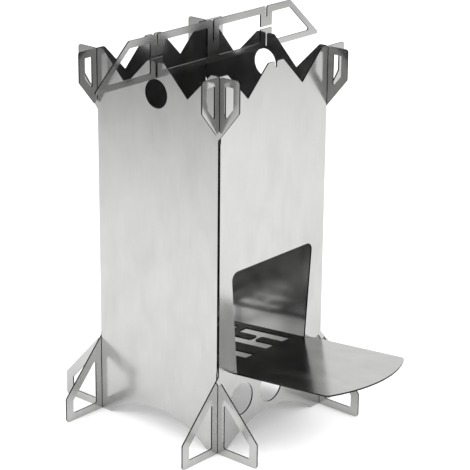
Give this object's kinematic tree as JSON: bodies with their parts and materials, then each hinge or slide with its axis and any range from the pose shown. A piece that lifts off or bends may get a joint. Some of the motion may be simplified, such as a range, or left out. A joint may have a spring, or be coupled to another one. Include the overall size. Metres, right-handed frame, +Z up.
{
  "type": "twig stove",
  "caption": "Flat-pack twig stove: square shaft of half-lapped steel sheets on splayed legs, feed door with sloping floor tray, crown top and slotted pot bar.",
  "frame": {"origin": "on the ground under the middle of the whole stove's plan box, which takes in the tray and the legs", "axes": "+Z up; the door and the feed tray face -Y; the pot bar runs along X"},
  "size_m": [0.203, 0.2189, 0.257],
  "materials": {
    "stainless_sheet": "clean mill finish with a fine grain, bright enough to mirror nearby edges"
  },
  "bodies": {
    "side_walls": {"left_side_wall": "stainless_sheet", "right_side_wall": "stainless_sheet"},
    "door_wall": {"door_wall": "stainless_sheet"},
    "back_wall": {"back_wall": "stainless_sheet"},
    "floor_tray": {"floor_tray": "stainless_sheet"},
    "pot_bar": {"pot_bar": "stainless_sheet"}
  },
  "joints": [
    {"name": "door_wall_lift", "type": "slide", "parent": "side_walls", "child": "door_wall", "axis": [0, 0, 1], "range_m": [0, 0.025]},
    {"name": "back_wall_lift", "type": "slide", "parent": "side_walls", "child": "back_wall", "axis": [0, 0, 1], "range_m": [0, 0.025]},
    {"name": "floor_tray_lift", "type": "slide", "parent": "door_wall", "child": "floor_tray", "axis": [0, 0, 1], "range_m": [0, 0.06]},
    {"name": "pot_bar_lift", "type": "slide", "parent": "side_walls", "child": "pot_bar", "axis": [0, 0, 1], "range_m": [0, 0.03]}
  ]
}
